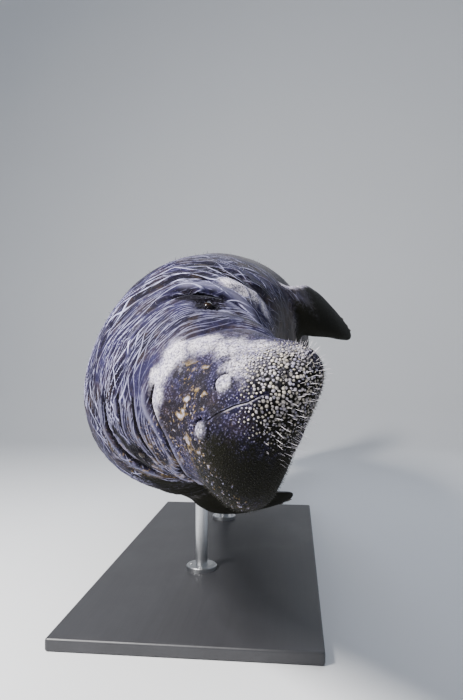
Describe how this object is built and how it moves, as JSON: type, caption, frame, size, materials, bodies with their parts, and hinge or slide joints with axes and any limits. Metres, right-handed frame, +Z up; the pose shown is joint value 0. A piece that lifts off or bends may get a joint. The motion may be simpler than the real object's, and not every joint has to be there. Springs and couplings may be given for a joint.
{
  "type": "manatee model",
  "caption": "Life-size manatee, banked on its side with its head turned down, held by two rods on a flat display stand.",
  "frame": {"origin": "centre of the underside of the stand's base", "axes": "+Z up from the base, +Y from the animal's head to its tail, +X to the side that its belly faces"},
  "size_m": [0.7101, 2.6523, 0.9695],
  "materials": {
    "skin": "damp, wrinkled and bristly skin",
    "eye": "wet gloss",
    "stand_base": "satin paint",
    "stand_steel": "brushed"
  },
  "bodies": {
    "root": {"head": "skin", "neck": "skin", "chest": "skin", "belly": "skin", "rump": "skin", "tail_stock": "skin", "tail_paddle": "skin", "flipper_left": "skin", "flipper_right": "skin", "eye_left": "eye", "eye_right": "eye", "stand_base": "stand_base", "stand_rod_front": "stand_steel", "stand_rod_rear": "stand_steel", "stand_flange_front": "stand_steel", "stand_flange_rear": "stand_steel"}
  },
  "joints": []
}
